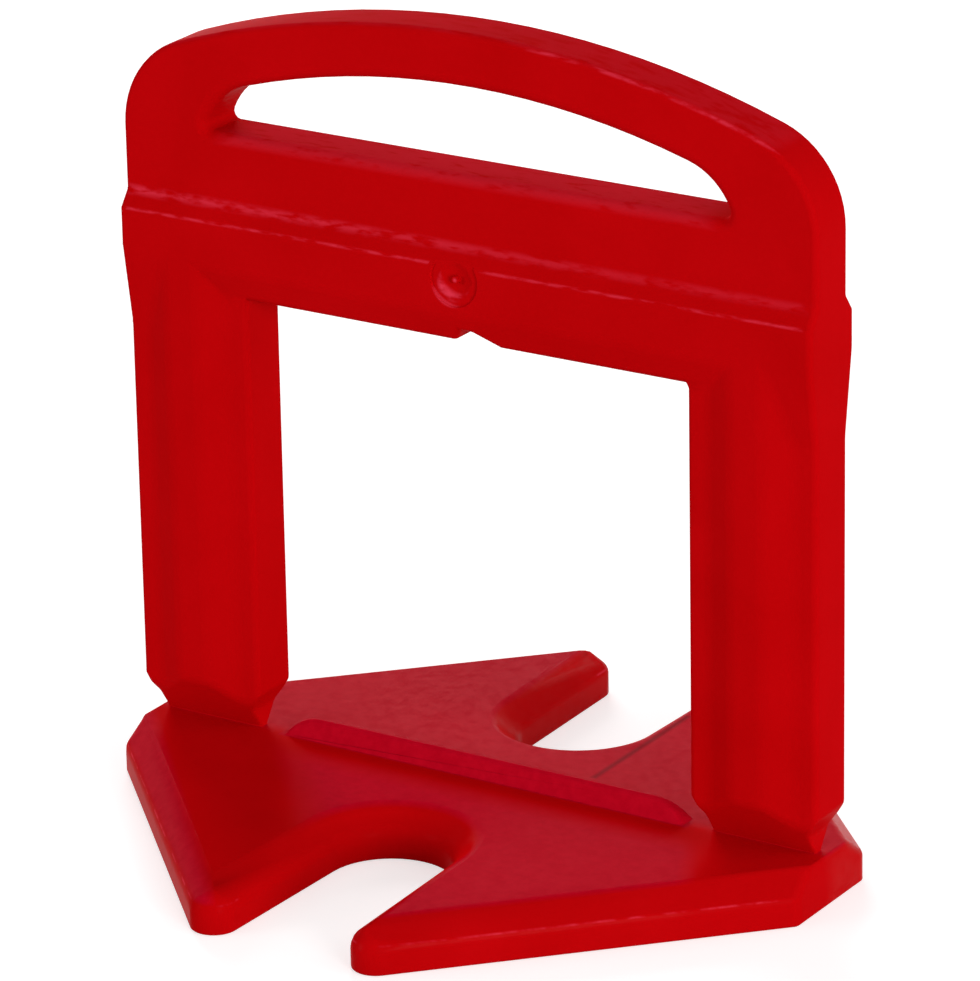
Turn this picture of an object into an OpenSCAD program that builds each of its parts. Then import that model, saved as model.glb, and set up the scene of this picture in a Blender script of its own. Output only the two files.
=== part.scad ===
// Break-off tile levelling clip, moulded in one piece.
// A square base lies under two tiles, a frame with a wedge window stands in the joint between them,
// and an arched handle closes the frame at the top.
// X runs along the frame, Y through its thickness, Z up. The origin is the middle of the base's underside.

/* [Frame] */
// Width across the two legs
frame_w = 40; // [36:0.5:46]
// Thickness of the handle and of the thin strips along the legs
plate_t = 2.9; // [2.4:0.1:3.4]
// How far the bar and the leg ridges stand out of the plate on each face
ridge_h = 0.63; // [0.4:0.01:0.9]
// Width of one leg
leg_w = 7.2; // [6.8:0.1:8.4]
// Clear height of the window between the base and the bar
window_h = 23.6; // [20:0.1:24.4]
// Height of the bar from the window to the handle
bar_h = 4.9; // [4.4:0.1:5.4]

/* [Bar and ridges] */
// Height of the sloping ledge on top of the bar
ledge_h = 0.85; // [0.5:0.05:1.2]
// Height of the slope along the lower edge of the bar
bar_slope_h = 1.6; // [1:0.1:2]
// Width of the thin strip along each side of a leg
strip_w = 1.2; // [0.8:0.1:1.4]
// Width of the slope between a strip and the ridge
slope_w = 1.5; // [1:0.1:1.7]
// Height over which the outer strips run out into the bar
runout_h = 4.3; // [2:0.1:6]
// Distance from the top of the bar down to the end of the run-out
runout_drop = 2.85; // [2.2:0.05:4]

/* [Handle] */
// Radius of the arched top
arch_r = 50.5; // [44:0.5:60]
// Radius of the handle's upper corners
corner_r = 5; // [3.5:0.1:6]
// Height of solid handle between the bar and the finger opening
opening_sill = 3.65; // [3:0.05:4]
// Width of the finger opening
opening_w = 30.7; // [28:0.1:32]
// Height of the finger opening at its middle
opening_h = 4.43; // [4.2:0.01:5]
// Material left above the middle of the opening
rim_t = 2.82; // [2.2:0.01:3.2]
// Radius of the opening's arched upper edge
opening_r = 44.5; // [40:0.5:60]
// Radius of the opening's shoulders
shoulder_r = 3.6; // [2.8:0.1:4]
// Radius of the opening's lower corners
end_r = 0.4; // [0.2:0.1:0.9]

/* [Base] */
// Thickness of the base
base_t = 2.6; // [2.3:0.1:3]
// Height of the upright lower part of the base's edges
edge_h = 1.45; // [1:0.05:1.8]
// Run of the sloping upper part of the base's edges
edge_slope = 1.2; // [0.8:0.05:1.25]
// How far the base's corners would reach past the legs if they were not cut off
corner_reach = 3.25; // [2.8:0.05:4]
// Corner to corner length of the base across the frame, before the slots
diamond_y = 48.2; // [46:0.2:52]
// How far the cut corners of the base reach past the legs
corner_lip = 0.05; // [0:0.05:0.4]
// Run of the slope on the cut corners
corner_slope = 0.2; // [0.1:0.05:0.6]
// Radius of the upright edges at the cut corners
edge_r = 0.8; // [0.4:0.1:1.2]
// Width of the two slots at their round ends
slot_w = 6.5; // [5.6:0.1:7.5]
// Angle at which each wall of a slot opens out towards its mouth
slot_taper = 1.5; // [0:0.1:3]
// Distance from the frame to the centre of a slot's round end
slot_root = 9.1; // [8.6:0.1:11]
// Radius of the four arm tips beside the slots
tip_r = 1.25; // [1.2:0.05:1.6]

/* [Break-off necks and rib] */
// Thickness of the necks that join the legs to the base
neck_t = 0.6; // [0.4:0.1:1.4]
// How far a neck is set in from each side of its leg
neck_inset = 0.65; // [0.4:0.05:1.2]
// Height at which the sides of a leg start to narrow above the base
neck_side_h = 2.25; // [1.4:0.05:3]
// Height over which the sides of a leg narrow
neck_cut_h = 1.05; // [0.4:0.05:1.2]
// Height at which the faces of a leg start to narrow above the base
neck_face_h = 2.6; // [1.8:0.1:3.4]
// Gap between each end of the rib and the leg beside it
rib_gap = 0.9; // [0.5:0.1:4]
// Height of the rib above the base
rib_h = 1; // [0.6:0.05:1.4]
// Thickness of the rib at its foot
rib_foot_t = 1.1; // [0.8:0.1:1.6]
// Thickness of the rib at its crest
rib_crest_t = 0.45; // [0.3:0.05:0.7]
// Radius of the rib's rounded ends
rib_end_r = 2.3; // [1.6:0.1:3]

/* [Gate mark] */
// Radius of the flat round seat around the moulding gate
gate_r = 1.35; // [1.1:0.05:1.6]
// Depth of the seat
gate_depth = 0.12; // [0.06:0.02:0.3]
// Radius of the dish in the middle of the seat
dish_r = 1; // [0.7:0.05:1.05]
// Depth of the dish below the seat
dish_depth = 0.3; // [0.2:0.02:0.4]
// Height of the gate above the window
gate_z = 3.35; // [3:0.05:3.6]
// Radius of the cut-off gate stub
stub_r = 0.2; // [0.15:0.05:0.4]
// Depth of the nick in the bar's lower edge under the gate
nick_depth = 0.65; // [0.3:0.05:0.9]
// Width of the nick along the edge
nick_w = 2.6; // [2:0.1:3.6]
// Width of the nick's steep left side
nick_steep = 0.4; // [0.2:0.05:0.6]
// Width of the nick at its deepest
nick_flat = 0.65; // [0.3:0.05:1]

/* [Hidden] */
$fn = 96;
// Overlap of joined solids and overshoot of cutting solids
bite = 0.5;
over = 2;
// Smallest radius left where a slope narrows to a point
point_r = 0.01;
// Angle of a slot's round end that is cut with each of its walls, a little past the middle
end_turn = 110;

half_w = frame_w / 2;
inner_w = half_w - leg_w;
ridge_t = plate_t + 2 * ridge_h;
window_z = base_t + window_h;
bar_z = window_z + bar_h;
sill_z = bar_z + opening_sill;
frame_h = sill_z + opening_h + rim_t;

// The arch's centre, the corner arcs that meet it, and the x at which they meet
arch_z = frame_h - arch_r;
corner_x = half_w - corner_r;
corner_z = arch_z + sqrt(pow(arch_r - corner_r, 2) - pow(corner_x, 2));
arch_meet_x = corner_x * arch_r / (arch_r - corner_r);

// The opening's arch, its shoulder arcs and its lower corner arcs
opening_z = frame_h - rim_t - opening_r;
shoulder_x = opening_w / 2 - shoulder_r;
shoulder_z = opening_z + sqrt(pow(opening_r - shoulder_r, 2) - pow(shoulder_x, 2));
shoulder_meet_x = shoulder_x * opening_r / (opening_r - shoulder_r);
end_z = sill_z + end_r;
end_x = shoulder_x + sqrt(pow(shoulder_r - end_r, 2) - pow(end_z - shoulder_z, 2));
end_meet_z = shoulder_z + (end_z - shoulder_z) * shoulder_r / (shoulder_r - end_r);

// The base's slanting edges: their distance from the middle and the angle of their outward normal
diamond_x = frame_w + 2 * corner_reach;
edge_angle = atan(diamond_x / diamond_y);
edge_d = diamond_x / 2 * cos(edge_angle);
slot_x = slot_w / 2;

// Centres of the rounds on the right front arm tip, which touches the slot's wall and the slanting edge,
// and on the upright edge between that slanting edge and the cut corner
tip_wall = slot_x + tip_r - slot_root * sin(slot_taper);
tip_edge = edge_d - tip_r;
tip_turn = sin(edge_angle + slot_taper);
tip_x = (tip_wall * sin(edge_angle) + tip_edge * sin(slot_taper)) / tip_turn;
tip_y = (tip_edge * cos(slot_taper) - tip_wall * cos(edge_angle)) / tip_turn;
lip_x = half_w + corner_lip;
edge_x = lip_x - edge_r;
edge_y = (edge_d - edge_r - edge_x * cos(edge_angle)) / sin(edge_angle);
rib_l = 2 * (inner_w - rib_gap);

// Draws a profile given in Y and Z and stretches it along X
module along_x(length) {
    translate([-length / 2, 0, 0])
        rotate([90, 0, 90])
            linear_extrude(length)
                children();
}

// Draws a profile given in X and Z and stretches it along Y
module along_y(length) {
    translate([0, length / 2, 0])
        rotate([90, 0, 0])
            linear_extrude(length)
                children();
}

// Repeats a shape on both sides of the plane x = 0 and of the plane y = 0
module both_x() {
    for (side = [0, 1])
        mirror([side, 0, 0])
            children();
}

module both_y() {
    for (side = [0, 1])
        mirror([0, side, 0])
            children();
}

// Front view of the frame as a full plate, with the narrowed feet
module frame_outline() {
    foot_z = base_t + neck_side_h;
    intersection() {
        translate([0, arch_z])
            circle(arch_r);
        translate([-arch_meet_x, bar_z])
            square([2 * arch_meet_x, frame_h - bar_z + over]);
    }
    both_x()
        translate([corner_x, corner_z])
            circle(corner_r);
    translate([-half_w, window_z])
        square([frame_w, corner_z - window_z]);
    both_x()
        polygon([
            [inner_w, window_z + bite],
            [half_w, window_z + bite],
            [half_w, foot_z],
            [half_w - neck_inset, foot_z - neck_cut_h],
            [half_w - neck_inset, base_t - bite],
            [inner_w + neck_inset, base_t - bite],
            [inner_w + neck_inset, foot_z - neck_cut_h],
            [inner_w, foot_z]
        ]);
}

// Front view of the finger opening in the handle
module opening_outline() {
    intersection() {
        translate([0, opening_z])
            circle(opening_r);
        translate([-shoulder_meet_x, end_z])
            square([2 * shoulder_meet_x, frame_h]);
    }
    both_x()
        intersection() {
            translate([shoulder_x, shoulder_z])
                circle(shoulder_r);
            translate([0, end_meet_z])
                square([frame_w, frame_h]);
        }
    both_x()
        translate([end_x, end_z])
            circle(end_r);
    translate([-end_x, sill_z])
        square([2 * end_x, 2 * end_r]);
}

// Side view of the frame: neck, ridge, ledge and handle
module frame_profile() {
    side = [
        [neck_t / 2, base_t - bite],
        [neck_t / 2, base_t],
        [ridge_t / 2, base_t + neck_face_h],
        [ridge_t / 2, bar_z - ledge_h],
        [plate_t / 2, bar_z],
        [plate_t / 2, frame_h + over]
    ];
    front = [for (point = side) [-point[0], point[1]]];
    back = [for (i = [len(side) - 1 : -1 : 0]) side[i]];
    polygon(concat(front, back));
}

// Cuts a strip along the outer edge of the right leg down to the plate, on the front face.
// The strip slopes up to the ridge beside it and runs out into the bar above it.
module strip_cut() {
    slope_x = half_w - strip_w;
    runout_z = bar_z - runout_drop;
    intersection() {
        linear_extrude(bar_z)
            polygon([
                [half_w + over, -plate_t / 2],
                [slope_x, -plate_t / 2],
                [slope_x - slope_w, -ridge_t / 2],
                [slope_x - slope_w, -ridge_t / 2 - over],
                [half_w + over, -ridge_t / 2 - over]
            ]);
        strip_depth(runout_z - runout_h, runout_z);
    }
}

// Gives a cut the strip's full depth up to full_z and lets it run out at runout_z
module strip_depth(full_z, runout_z) {
    along_x(frame_w + 2 * over)
        polygon([
            [-plate_t / 2, 0],
            [-plate_t / 2, full_z],
            [-ridge_t / 2, runout_z],
            [-ridge_t / 2 - over, runout_z],
            [-ridge_t / 2 - over, 0]
        ]);
}

// The strips around the window on the front face, cut as one broad recess
module window_cut() {
    recess_x = inner_w + strip_w;
    intersection() {
        linear_extrude(bar_z)
            polygon([
                [-recess_x, -plate_t / 2],
                [recess_x, -plate_t / 2],
                [recess_x + slope_w, -ridge_t / 2],
                [recess_x + slope_w, -ridge_t / 2 - over],
                [-recess_x - slope_w, -ridge_t / 2 - over],
                [-recess_x - slope_w, -ridge_t / 2]
            ]);
        strip_depth(window_z, window_z + bar_slope_h);
    }
}

// The seat around the gate with its dish
module gate_cut() {
    ball_r = (pow(dish_r, 2) + pow(dish_depth, 2)) / (2 * dish_depth);
    translate([0, gate_depth - ridge_t / 2, window_z + gate_z])
        rotate([90, 0, 0]) {
            cylinder(r = gate_r, h = over);
            translate([0, 0, ball_r - dish_depth])
                sphere(ball_r);
        }
}

// What is left of the gate stands in the dish, a little below the face of the bar
module gate_stub() {
    translate([0, 0, window_z + gate_z])
        rotate([90, 0, 0])
            cylinder(r = stub_r, h = ridge_t / 2 - gate_depth);
}

// Nick in the lower edge of the bar, steep on its left side and drawn out on its right
module nick_cut() {
    along_y(ridge_t + 2 * over)
        polygon([
            [-nick_steep, window_z - over],
            [-nick_steep, window_z],
            [0, window_z + nick_depth],
            [nick_flat, window_z + nick_depth],
            [nick_w - nick_steep, window_z],
            [nick_w - nick_steep, window_z - over]
        ]);
}

// Legs, bar and handle
module frame() {
    difference() {
        intersection() {
            along_x(frame_w + 2 * over)
                frame_profile();
            along_y(ridge_t + 2 * over)
                difference() {
                    frame_outline();
                    opening_outline();
                }
        }
        both_y() {
            both_x()
                strip_cut();
            window_cut();
        }
        gate_cut();
        nick_cut();
    }
    gate_stub();
}

// Low rib on the base between the necks
module rib() {
    crest_z = base_t + rib_h;
    straight = rib_l / 2 - sqrt(pow(rib_end_r, 2) - pow(rib_end_r - rib_h, 2));
    intersection() {
        along_x(rib_l)
            polygon([
                [-rib_foot_t / 2, base_t - bite],
                [-rib_foot_t / 2, base_t],
                [-rib_crest_t / 2, crest_z],
                [rib_crest_t / 2, crest_z],
                [rib_foot_t / 2, base_t],
                [rib_foot_t / 2, base_t - bite]
            ]);
        along_y(rib_foot_t + 2 * over)
            intersection() {
                union() {
                    both_x()
                        translate([straight, crest_z - rib_end_r])
                            circle(rib_end_r);
                    translate([-straight, 0])
                        square([2 * straight, crest_z]);
                }
                translate([-rib_l, base_t - bite])
                    square([2 * rib_l, rib_h + 2 * bite]);
            }
    }
}

// Cross-section of a bar of the base's thickness, upright below and sloping in above
module edge_section(half, slope) {
    polygon([
        [-half, 0],
        [half, 0],
        [half, edge_h],
        [half - slope, base_t],
        [-half + slope, base_t],
        [-half, edge_h]
    ]);
}

// Section of a slot from from_x to its right wall, flaring out above the upright part of the wall
module slot_section(from_x) {
    polygon([
        [from_x, -over],
        [slot_x, -over],
        [slot_x, edge_h],
        [slot_x + edge_slope, base_t],
        [slot_x + edge_slope, base_t + over],
        [from_x, base_t + over]
    ]);
}

// Slot from the front of the base towards the frame, with a round end.
// Each of its two walls is cut together with its share of the round end.
module slot() {
    translate([0, -slot_root, 0]) {
        both_x()
            rotate([0, 0, slot_taper]) {
                rotate_extrude(angle = end_turn)
                    slot_section(0);
                rotate([90, 0, 0])
                    linear_extrude(diamond_y / 2)
                        slot_section(-slot_x / 2);
            }
    }
}

// Takes the sharp edge off an upright corner whose two walls face the angles from and to,
// and leaves a round of radius r about the origin that slopes in by slope above the upright part
module round_off(r, from, to, slope) {
    far = r / cos((to - from) / 2) + over;
    difference() {
        translate([0, 0, -over])
            linear_extrude(base_t + 2 * over)
                polygon([
                    [0, 0],
                    far * [cos(from), sin(from)],
                    2 * far * [cos((from + to) / 2), sin((from + to) / 2)],
                    far * [cos(to), sin(to)]
                ]);
        rotate_extrude()
            polygon([
                [0, -2 * over],
                [r, -2 * over],
                [r, edge_h],
                [max(r - slope, point_r), base_t],
                [0, base_t]
            ]);
    }
}

// A long bar that carries two opposite slanting edges of the base
module edge_bar(way) {
    rotate([0, 0, -way * edge_angle])
        rotate([90, 0, 0])
            translate([0, 0, -diamond_y])
                linear_extrude(2 * diamond_y)
                    edge_section(edge_d, edge_slope);
}

// Square plate set cornerwise to the frame, with cut corners under the legs and a slot on each side
module base() {
    difference() {
        intersection() {
            edge_bar(1);
            edge_bar(-1);
            rotate([90, 0, 0])
                translate([0, 0, -diamond_y / 2])
                    linear_extrude(diamond_y)
                        edge_section(lip_x, corner_slope);
        }
        both_y()
            slot();
        both_y()
            both_x() {
                translate([tip_x, -tip_y, 0])
                    round_off(tip_r, slot_taper - 180, -edge_angle, edge_slope);
                translate([edge_x, -edge_y, 0])
                    round_off(edge_r, -edge_angle, 0, corner_slope);
            }
    }
}

module levelling_clip() {
    color([0.71, 0.02, 0.03])
        union() {
            base();
            rib();
            frame();
        }
}

levelling_clip();
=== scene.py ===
import math

import bmesh
import bpy
from mathutils import Matrix, Vector


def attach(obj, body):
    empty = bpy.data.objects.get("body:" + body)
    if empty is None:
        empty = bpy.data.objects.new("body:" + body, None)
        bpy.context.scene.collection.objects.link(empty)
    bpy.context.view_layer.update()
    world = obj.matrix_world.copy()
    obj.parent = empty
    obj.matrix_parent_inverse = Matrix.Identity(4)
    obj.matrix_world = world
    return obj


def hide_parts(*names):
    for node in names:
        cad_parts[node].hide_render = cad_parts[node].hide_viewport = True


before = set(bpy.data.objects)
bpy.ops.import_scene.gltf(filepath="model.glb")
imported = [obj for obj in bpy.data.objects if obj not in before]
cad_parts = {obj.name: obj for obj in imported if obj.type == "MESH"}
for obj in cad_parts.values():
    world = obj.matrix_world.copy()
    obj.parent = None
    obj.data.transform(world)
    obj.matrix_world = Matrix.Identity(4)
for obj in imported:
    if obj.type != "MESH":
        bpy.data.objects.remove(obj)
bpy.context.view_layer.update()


# The clip is one injection moulding in satin red polypropylene: a square base, two break-off necks,
# two ridged legs, a bar and an arched handle. The mould leaves each edge a little round: more so on
# the front and around the slots, less on the back, where the two halves of the mould met.
mm = 0.001
edge_top = 1.45 * mm
base_top = 2.6 * mm
foot_top = 5.3 * mm
leg_inside = 12.8 * mm
leg_outside = 19.5 * mm
cut_side = 19 * mm
rib_reach = 1 * mm
slot_side = 8 * mm
slot_root = 4.5 * mm
gate_height = 29.55 * mm
gate_reach = 1.6 * mm
nick_side = 3 * mm
runout_low = 23.95 * mm
runout_high = 28.25 * mm
runout_inside = 17.3 * mm
runout_depth = 1.3 * mm
opening_low = 34.6 * mm
opening_high = 39.3 * mm
opening_side = 15.3 * mm
touch = 0.01 * mm
margin = 0.1 * mm

bpy.ops.object.select_all(action="DESELECT")
clip = bpy.data.objects.new("clip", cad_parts["levelling_clip"].data.copy())
bpy.context.scene.collection.objects.link(clip)
clip.select_set(True)
bpy.context.view_layer.objects.active = clip
merge_gap = 0.002 * mm
bpy.ops.object.mode_set(mode="EDIT")
bpy.ops.mesh.select_all(action="SELECT")
bpy.ops.mesh.remove_doubles(threshold=merge_gap)
bpy.ops.mesh.dissolve_degenerate(threshold=merge_gap)
bpy.ops.mesh.dissolve_limited(angle_limit=math.radians(0.4))

# The four arm tips end in a point on top, and each is drawn again as a plain fan below that point.
# The upright edges beside the cut corners are drawn again as plain edges, for the rounding to follow,
# and the small arcs at the ends of the opening with four edges each.
tip_start = 15 * mm
tip_fan = 1.1 * mm
corner_face = 20.05 * mm
corner_inside = 19.8 * mm
corner_start = 2.9 * mm
corner_band = 0.25 * mm
edge_slant = 48.2 / 46.5
arc_inside, arc_outside = 14.6 * mm, 15.1 * mm
arc_low, arc_high = 34.7 * mm, 35.33 * mm
arc_steps = 4
least_depth = 1 * mm

form = bmesh.from_edit_mesh(clip.data)
joined = {}
for side in (1, -1):
    for way in (1, -1):
        arm = [v for v in form.verts if v.co.x * side > 0 and v.co.y * way > tip_start]
        top = [v for v in arm if abs(v.co.z - base_top) < touch]
        point = max(top, key=lambda v: abs(v.co.y))
        for v in arm:
            if v != point and v.co.z > edge_top + margin and (v.co - point.co).length < tip_fan:
                joined[v] = point
        corner = [v for v in form.verts if v.co.x * side > corner_inside and v.co.y * way > corner_start]
        for height in (0, edge_top):
            ring = [v for v in corner if abs(v.co.z - height) < corner_band]
            end = max(ring, key=lambda v: abs(v.co.y))
            reach = abs(end.co.y) - (corner_face - abs(end.co.x)) * edge_slant
            end.co = (corner_face * side, reach * way, height)
            for v in ring:
                if v != end:
                    joined[v] = end
    arc = [edge for edge in form.edges
           if abs(edge.verts[0].co.y - edge.verts[1].co.y) > least_depth
           and all(arc_inside < v.co.x * side < arc_outside and arc_low < v.co.z < arc_high
                   for v in edge.verts)]
    arc.sort(key=lambda edge: edge.verts[0].co.z)
    kept_edges = [round(step * (len(arc) - 1) / arc_steps) for step in range(arc_steps + 1)]
    spare = [edge for count, edge in enumerate(arc)
             if count not in kept_edges and all(len(v.link_edges) == 3 for v in edge.verts)]
    bmesh.ops.dissolve_edges(form, edges=spare, use_verts=True)
bmesh.ops.weld_verts(form, targetmap=joined)
form.normal_update()

# How far from an edge its rounding starts, in mm, by the edge's place on the moulding
rounding = {
    "underside": 0.12, "gate": 0.04, "run-out": 0.4, "across": 0.15, "bar slope": 0.3, "leg slope": 0.42,
    "blunt": 0.2, "rim front": 0.6, "rim back": 0.15, "frame front": 0.32, "frame back": 0.15,
    "foot end": 0.2, "foot": 0.35, "rib": 0.2, "rib root": 0.05, "neck root": 0.06, "cut corner": 0.42,
    "slot front": 0.42, "slot back": 0.25, "base": 0.22, "plain": 0,
}
widest_round = max(rounding.values())


# The place of an edge on the moulding: by its height first, then by its angle in degrees and its run
def edge_place(edge):
    angle = math.degrees(edge.calc_face_angle(0))
    middle = (edge.verts[0].co + edge.verts[1].co) / 2
    run = edge.verts[1].co - edge.verts[0].co
    x, y, z = abs(middle.x), abs(middle.y), middle.z
    front = middle.y < 0
    through = abs(run.y) > 0.99 * run.length
    from_gate = Vector((middle.x, 0, z - gate_height)).length
    if z < touch:
        return "underside"
    if from_gate < gate_reach and middle.y < -1 * mm and run.length < 1 * mm:
        return "gate" if angle > 30 else "plain"
    if angle < 14:
        on_runout = runout_low - margin < z < runout_high + margin and x > runout_inside and y > runout_depth
        return "run-out" if on_runout and angle > 3 and run.length > 0.7 * mm else "plain"
    if z > foot_top and through:
        return "across" if angle > 40 or x < nick_side else "plain"
    if z > foot_top and angle < 30:
        return "bar slope" if abs(run.x) > 10 * mm else "leg slope"
    if z > foot_top and angle < 45:
        return "blunt"
    if opening_low < z < opening_high and x < opening_side:
        return "rim front" if front else "rim back"
    if z > foot_top:
        return "frame front" if front else "frame back"
    if z > base_top + touch and x > leg_inside:
        return "foot end" if through or angle > 50 else "foot"
    if z > base_top - touch and y < rib_reach and x < leg_inside:
        return "rib" if z > base_top + touch else "rib root"
    if z > base_top - touch and y < rib_reach and x < leg_outside:
        return "neck root"
    if x > cut_side:
        return "cut corner"
    if x < slot_side and y > slot_root and z > edge_top - margin:
        return "slot front" if front else "slot back"
    return "base"


weights = form.edges.layers.float.new("bevel_weight_edge")
for edge in form.edges:
    edge[weights] = rounding[edge_place(edge)] / widest_round
bmesh.update_edit_mesh(clip.data)
bpy.ops.object.mode_set(mode="OBJECT")

rounded = clip.modifiers.new("rounded_edges", "BEVEL")
rounded.limit_method = "WEIGHT"
rounded.width = widest_round * mm
rounded.segments = 3
rounded.use_clamp_overlap = False
bpy.ops.object.modifier_apply(modifier="rounded_edges")

# Where three roundings meet in a narrow place, a tiny face can fold over, and it is closed to a point
bpy.ops.object.mode_set(mode="EDIT")
form = bmesh.from_edit_mesh(clip.data)
folded = [face for face in form.faces if all(
    face.normal.dot(other.normal) < 0 for edge in face.edges for other in edge.link_faces if other != face)]
bmesh.ops.collapse(form, edges=list({edge for face in folded for edge in face.edges}))
bmesh.update_edit_mesh(clip.data)
bpy.ops.object.mode_set(mode="OBJECT")
bpy.ops.object.shade_smooth_by_angle(angle=math.radians(40))
evened = clip.modifiers.new("even_shading", "WEIGHTED_NORMAL")
evened.keep_sharp = True
bpy.ops.object.modifier_apply(modifier="even_shading")


# Adds a shader node with its settings, feeds its inputs from sockets or plain values, and gives its
# first output
def add_node(tree, kind, feeds, **settings):
    node = tree.nodes.new("ShaderNode" + kind)
    for name, value in settings.items():
        setattr(node, name, value)
    for name, value in feeds.items():
        if isinstance(value, bpy.types.NodeSocket):
            tree.links.new(value, node.inputs[name])
        else:
            node.inputs[name].default_value = value
    return node.outputs[0]


# A line of pale specks that thin out with the distance from a line of the moulding, standing partly for wear
# and partly for painted highlight
wear_and_highlight_group = bpy.data.node_groups.new("wear_and_highlight_line", "ShaderNodeTree")
wear_and_highlight_group.interface.new_socket(name="Place", in_out="INPUT", socket_type="NodeSocketVector")
for name in ("Distance", "Width", "Bare", "Grain", "Strength"):
    wear_and_highlight_group.interface.new_socket(name=name, in_out="INPUT", socket_type="NodeSocketFloat")
wear_and_highlight_group.interface.new_socket(name="Mask", in_out="OUTPUT", socket_type="NodeSocketFloat")
given = wear_and_highlight_group.nodes.new("NodeGroupInput").outputs
specks = add_node(wear_and_highlight_group, "TexNoise", {"Vector": given["Place"], "Scale": given["Grain"], "Detail": 3})
covered = add_node(wear_and_highlight_group, "Math", {0: given["Bare"], 1: 0.25}, operation="ADD")
pale_specks = add_node(wear_and_highlight_group, "MapRange", {"Value": specks, "From Min": given["Bare"], "From Max": covered},
                     interpolation_type="SMOOTHSTEP")
near = add_node(wear_and_highlight_group, "MapRange", {"Value": given["Distance"], "From Min": given["Width"], "From Max": 0},
                interpolation_type="SMOOTHSTEP")
specks_near_line = add_node(wear_and_highlight_group, "Math", {0: pale_specks, 1: near}, operation="MULTIPLY")
mask = add_node(wear_and_highlight_group, "Math", {0: specks_near_line, 1: given["Strength"]}, operation="MULTIPLY")
wear_and_highlight_group.links.new(mask, wear_and_highlight_group.nodes.new("NodeGroupOutput").inputs["Mask"])

# The skin of the moulding: a fine grain from the mould, a coarser mottling that shows on the base, and
# broad streaks where the plastic flowed
skin = bpy.data.node_groups.new("moulded_skin", "ShaderNodeTree")
skin.interface.new_socket(name="Place", in_out="INPUT", socket_type="NodeSocketVector")
for name in ("Grain", "Tone", "Mottle"):
    skin.interface.new_socket(name=name, in_out="OUTPUT", socket_type="NodeSocketFloat")
given = skin.nodes.new("NodeGroupInput").outputs
grain = add_node(skin, "TexNoise", {"Vector": given["Place"], "Scale": 4.5, "Detail": 3, "Roughness": 0.6})
flow = add_node(skin, "TexNoise", {"Vector": given["Place"], "Scale": 0.16, "Detail": 2, "Distortion": 0.6})
tone = add_node(skin, "Mix", {"Factor": 0.3, "A": flow, "B": grain})
mottle = add_node(skin, "TexNoise", {"Vector": given["Place"], "Scale": 1.8, "Detail": 4, "Roughness": 0.7})
result = skin.nodes.new("NodeGroupOutput").inputs
for name, value in (("Grain", grain), ("Tone", tone), ("Mottle", mottle)):
    skin.links.new(value, result[name])

# The red plastic reads its place on the clip in mm
red_plastic = bpy.data.materials.new("red_plastic")
red_plastic.use_nodes = True
tree = red_plastic.node_tree
tree.nodes.clear()
spot = tree.nodes.new("ShaderNodeTexCoord").outputs["Object"]
place = add_node(tree, "VectorMath", {0: spot, "Scale": 1 / mm}, operation="SCALE")
x, y, z = add_node(tree, "SeparateXYZ", {0: place}).node.outputs
drawn_out = add_node(tree, "VectorMath", {0: place, 1: (0.3, 1, 1)}, operation="MULTIPLY")
surface = add_node(tree, "Group", {"Place": place}, node_tree=skin).node.outputs


def work(operation, *values):
    return add_node(tree, "Math", dict(enumerate(values)), operation=operation)


def away(value, level):
    return work("ABSOLUTE", work("SUBTRACT", value, level))


def times(first, second):
    return work("MULTIPLY", first, second)


def largest(*values):
    found = values[0]
    for value in values[1:]:
        found = work("MAXIMUM", found, value)
    return found


def radius(across, upward):
    return work("SQRT", work("ADD", times(across, across), times(upward, upward)))


def ramp(value, start, end, at_start=0, at_end=1):
    return add_node(tree, "MapRange", {"Value": value, "From Min": start, "From Max": end,
                                       "To Min": at_start, "To Max": at_end})


def blend(factor, first, second):
    return add_node(tree, "Mix", {0: factor, 6: first, 7: second}, data_type="RGBA").node.outputs[2]


def wear_and_highlight_specks(distance, width, bare, grain, strength):
    return add_node(tree, "Group", {"Place": drawn_out, "Distance": distance, "Width": width, "Bare": bare,
                                    "Grain": grain, "Strength": strength}, node_tree=wear_and_highlight_group)


# Pale specks on the two lines of the ledge, the floor of the opening, the top of the arch and its front
# edge, the base's edge at half its height, and the dish around the gate, with places in mm. On the ledge's
# lower line, the arch's front edge, the base's edge and the arm tips they are painted highlights, and in the
# gate's dish the lower-left crescents and the centre spot are a painted highlight of its lit side and of the
# stub. On the ledge's upper line, the floor of the opening and the arch's top they are partly wear, partly
# painted highlight.
ledge_line, bar_line, sill_line, base_line = 31.12, 30.25, 34.65, 1.5
face_half, sill_half = 19.5, 12.6
arch_centre, arch_reach, arch_edge, arch_front, arch_start = -8.5, 50.5, 50.4, -1.38, 4
arms_start, arms_end, tips_start = 6, 19.6, 16.5
dish_front, dish_middle, dish_rim = -1.2, 0.9, 1.32
sideways = away(x, 0)
off_face = work("SUBTRACT", sideways, face_half)
from_gate = work("SUBTRACT", z, gate_height / mm)
gate_radius = radius(x, from_gate)
on_gate = work("LESS_THAN", gate_radius, gate_reach / mm)
lower_left = work("DIVIDE", work("ADD", times(x, 0.5), from_gate), gate_radius)
off_crescent = times(work("ADD", lower_left, 1.05), 0.3)
off_dish_front = work("SUBTRACT", y, dish_front)
off_dish_middle = work("ADD", away(gate_radius, dish_middle), off_crescent)
off_dish_rim = work("ADD", away(gate_radius, dish_rim), off_crescent)
arch_radius = radius(x, work("SUBTRACT", z, arch_centre))
off_arch_edge = largest(away(arch_radius, arch_edge), away(y, arch_front), work("SUBTRACT", arch_start, x))
off_bar_line = work("ADD", away(z, bar_line), on_gate)
off_sill = times(work("SUBTRACT", sideways, sill_half), 0.25)
off_arms = largest(work("SUBTRACT", arms_start, sideways), work("SUBTRACT", sideways, arms_end))
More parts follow.
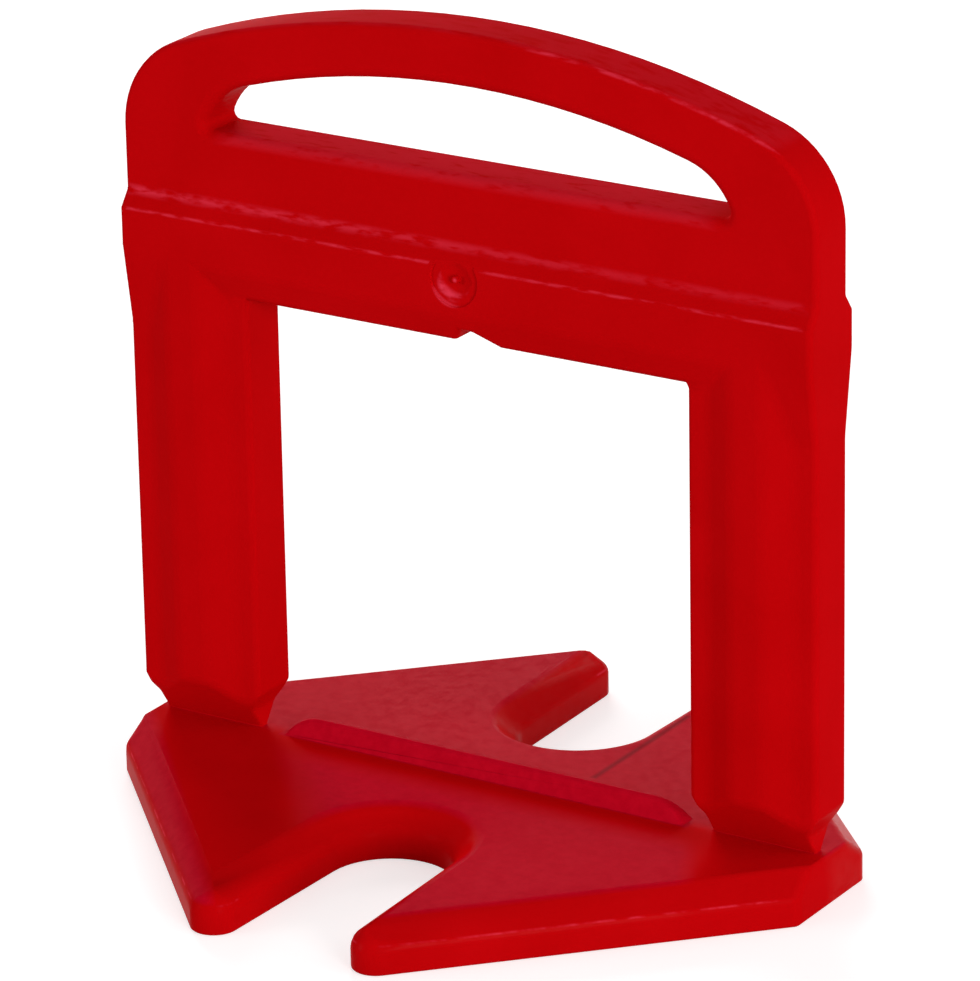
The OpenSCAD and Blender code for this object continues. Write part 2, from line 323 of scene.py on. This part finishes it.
off_base_edge = work("MINIMUM", off_arms, work("SUBTRACT", tips_start, away(y, 0)))
ledge_wear_and_highlight = ramp(x, -20, 10, 0.66, 0.22)
pale = largest(
    wear_and_highlight_specks(largest(away(z, ledge_line), off_face), width=0.36, bare=0.34, grain=3, strength=ledge_wear_and_highlight),
    wear_and_highlight_specks(largest(off_bar_line, off_face), width=0.12, bare=0.38, grain=3, strength=0.6),
    wear_and_highlight_specks(largest(away(z, sill_line), off_sill), width=0.55, bare=0.25, grain=3, strength=0.28),
    wear_and_highlight_specks(away(arch_radius, arch_reach), width=0.2, bare=0.3, grain=2, strength=0.12),
    wear_and_highlight_specks(off_arch_edge, width=0.16, bare=0.4, grain=3, strength=0.7),
    wear_and_highlight_specks(largest(away(z, base_line), off_base_edge), width=0.08, bare=0.42, grain=1.2, strength=0.6),
    wear_and_highlight_specks(largest(off_dish_front, off_dish_middle), width=0.34, bare=0.34, grain=2.6, strength=1),
    wear_and_highlight_specks(largest(off_dish_front, off_dish_rim), width=0.14, bare=0.3, grain=2, strength=0.6),
    wear_and_highlight_specks(largest(off_dish_front, gate_radius), width=0.16, bare=0, grain=1, strength=1),
)

# Behind the rib, on the right arm and on the left slope the base is glossier than the frame, and mottled.
# Its crimson colour there and on the rib is a painted reflection, left off where the shadows of the legs and
# of the rib fall on the base. A thin dark line is painted along one arm.
top_height = base_top / mm
rib_middle, rib_half = 3.1, 11.5
dark_line_side, dark_line_middle, dark_line_half = 4.9, 7.2, 4.6
mottle_low, mottle_high = 0.36, 0.64
on_base = ramp(z, top_height + 0.04, top_height + 0.01)
off_rib = largest(away(z, rib_middle), away(y, 0), work("SUBTRACT", sideways, rib_half))
on_rib = ramp(off_rib, 0.75, 0.65)
behind_rib = ramp(y, -0.6, 0.4)
# These ramps mark the front of the base clear of the shadows of the rib and of the legs, where the painted
# crimson reflection lies
past_rib_shadow = ramp(y, -1.6, -3.4)
off_right_leg_shadow = ramp(work("ADD", x, times(y, 0.5)), 12.9, 11.7)
from_left_edge = work("ADD", x, times(y, 0.9))
on_right_arm = times(ramp(x, 0, 6), off_right_leg_shadow)
on_left_slope = times(ramp(from_left_edge, -20.4, -21.2), ramp(z, 1.5, 1.7))
front_polish = times(largest(on_left_slope, times(past_rib_shadow, on_right_arm)), 0.42)
polish = ramp(largest(behind_rib, front_polish), 0, 1, 0.02, 0.42)
gloss = times(polish, ramp(surface["Mottle"], mottle_low, mottle_high, 0.6, 1.4))
out_of_leg_shadows = times(off_right_leg_shadow, ramp(from_left_edge, -14, -11))
near_top = ramp(z, top_height - 0.2, top_height - 0.02)
on_middle = times(near_top, largest(behind_rib, times(past_rib_shadow, out_of_leg_shadows)))
# Painted reflection: a crimson veil on the base's open middle, its left slope and the rib
crimson_reflection = largest(times(on_base, largest(on_middle, on_left_slope)), on_rib)
# A thin dark line painted on the back right arm, in line with the side of the back slot, up to the rib
off_dark_line = largest(away(x, dark_line_side), work("SUBTRACT", away(y, dark_line_middle), dark_line_half))
dark_line = times(on_base, ramp(off_dark_line, 0.26, 0.02))

frame_dark, frame_light = (0.495, 0.0008, 0.002, 1), (0.55, 0.0012, 0.003, 1)
# The crimson of the painted reflection, from dark to light by the mottling
reflection_dark, reflection_light = (0.475, 0.001, 0.0125, 1), (0.535, 0.0022, 0.0158, 1)
dark_line_red = (0.26, 0.001, 0.008, 1)
# The pale pink of the specks, partly wear and partly painted highlight
wear_and_highlight_pink = (0.76, 0.035, 0.07, 1)
frame_red = blend(ramp(surface["Tone"], 0.3, 0.7), frame_dark, frame_light)
reflection_red = blend(ramp(surface["Mottle"], mottle_low, mottle_high), reflection_dark, reflection_light)
red = blend(dark_line, blend(crimson_reflection, frame_red, reflection_red), dark_line_red)
plastic = add_node(tree, "BsdfPrincipled", {
    "Base Color": blend(pale, red, wear_and_highlight_pink),
    "Roughness": ramp(work("SUBTRACT", pale, on_base), -1, 1, 0.24, 0.5),
    "Normal": add_node(tree, "Bump", {"Height": surface["Grain"], "Strength": 0.3, "Distance": 0.004 * mm}),
    "Specular IOR Level": 0.0015,
    "Coat Weight": times(on_base, gloss),
    "Coat Roughness": 0.24,
    "Coat IOR": 1.1,
})
tree.links.new(plastic, tree.nodes.new("ShaderNodeOutputMaterial").inputs["Surface"])
clip.data.materials.clear()
clip.data.materials.append(red_plastic)

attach(clip, "root")
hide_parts("levelling_clip")


# The clip stands on a plain white studio table, wide enough to fill the picture.
# It takes the clip's soft shadow, and the camera sees it lit up to white.
table_width = 3
table_glow = 0.58
table_grey = (0.7, 0.7, 0.7, 1)
white = (1, 1, 1, 1)

bpy.ops.object.select_all(action="DESELECT")
bpy.ops.mesh.primitive_plane_add(size=table_width, location=(0, 0, 0))
table = bpy.context.object
table.name = "table"


# Gives 1 where the camera looks straight, in a mirror or through glass, and 0 where light is gathered
def seen_by_eye(tree):
    rays = tree.nodes.new("ShaderNodeLightPath").outputs
    seen = add_node(tree, "Math", {0: rays["Is Camera Ray"], 1: rays["Is Glossy Ray"]}, operation="MAXIMUM")
    return add_node(tree, "Math", {0: seen, 1: rays["Is Transmission Ray"]}, operation="MAXIMUM")


white_table = bpy.data.materials.new("white_table")
white_table.use_nodes = True
table_tree = white_table.node_tree
table_tree.nodes.clear()
glow_level = add_node(table_tree, "Math", {0: seen_by_eye(table_tree), 1: table_glow}, operation="MULTIPLY")
glow = add_node(table_tree, "Emission", {"Color": white, "Strength": glow_level})
shadowed = add_node(table_tree, "BsdfDiffuse", {"Color": table_grey})
table_top = add_node(table_tree, "AddShader", {0: shadowed, 1: glow})
table_tree.links.new(table_top, table_tree.nodes.new("ShaderNodeOutputMaterial").inputs["Surface"])
table.data.materials.append(white_table)


# Soft studio light: a pale room all round, white where it is seen, a broad soft lamp at the right
# beside the camera, a weaker one at the left and one at the right side. A last one low behind the
# clip lays the shadows of the legs and the rib on the front of the base.
room_light = 0.36
lamp_aim = Vector((0, 0, 20 * mm))
lamp_distance = 0.7

room = bpy.data.worlds.new("pale_room")
bpy.context.scene.world = room
room.use_nodes = True
room_tree = room.node_tree
room_tree.nodes.clear()
room_seen = seen_by_eye(room_tree)
room_level = add_node(room_tree, "MapRange", {"Value": room_seen, "To Min": room_light, "To Max": 1})
air = add_node(room_tree, "Background", {"Color": white, "Strength": room_level})
room_tree.links.new(air, room_tree.nodes.new("ShaderNodeOutputWorld").inputs["Surface"])


# The way to a lamp or the camera, turned from the front to the right and raised, both in degrees
def way_to(turn, rise):
    turn, rise = math.radians(turn), math.radians(rise)
    return Vector((math.sin(turn) * math.cos(rise), -math.cos(turn) * math.cos(rise), math.sin(rise)))


def soft_lamp(name, turn, rise, size, power):
    back = way_to(turn, rise)
    bpy.ops.object.light_add(type="AREA", location=lamp_aim + back * lamp_distance)
    lamp = bpy.context.object
    lamp.name = name
    lamp.rotation_euler = back.to_track_quat("Z", "Y").to_euler()
    lamp.data.size = size
    lamp.data.energy = power
    return lamp


soft_lamp("lamp_right", turn=60, rise=11, size=0.28, power=2.6)
soft_lamp("lamp_left", turn=-45, rise=11, size=0.28, power=1.3)
soft_lamp("lamp_side", turn=100, rise=30, size=0.4, power=0.75)
lamp_back = soft_lamp("lamp_back", turn=222, rise=19, size=0.32, power=3.5)
lamp_back.visible_glossy = False


# The camera looks down on the front from the right, from far enough away to flatten the view.
# It is rolled a little, as in the photo.
camera_turn, camera_rise, camera_roll = 32.526, 20.243, math.radians(-1.029)
camera_aim = Vector((0.579, 0, 18.078)) * mm
camera_distance = 312.54 * mm

back = way_to(camera_turn, camera_rise)
right = Vector((math.cos(math.radians(camera_turn)), math.sin(math.radians(camera_turn)), 0))
up = back.cross(right)
across = right * math.cos(camera_roll) + up * math.sin(camera_roll)
along = up * math.cos(camera_roll) - right * math.sin(camera_roll)
bpy.ops.object.camera_add()
camera = bpy.context.object
facing = Matrix((across, along, back)).transposed().to_4x4()
camera.matrix_world = Matrix.Translation(camera_aim + back * camera_distance) @ facing
camera.data.sensor_fit = "HORIZONTAL"
camera.data.sensor_width = 36
camera.data.lens = 231.0
camera.data.clip_start = 0.01
camera.data.clip_end = 20
bpy.context.scene.camera = camera
bpy.context.scene.view_settings.view_transform = "Standard"


bpy.context.view_layer.update()
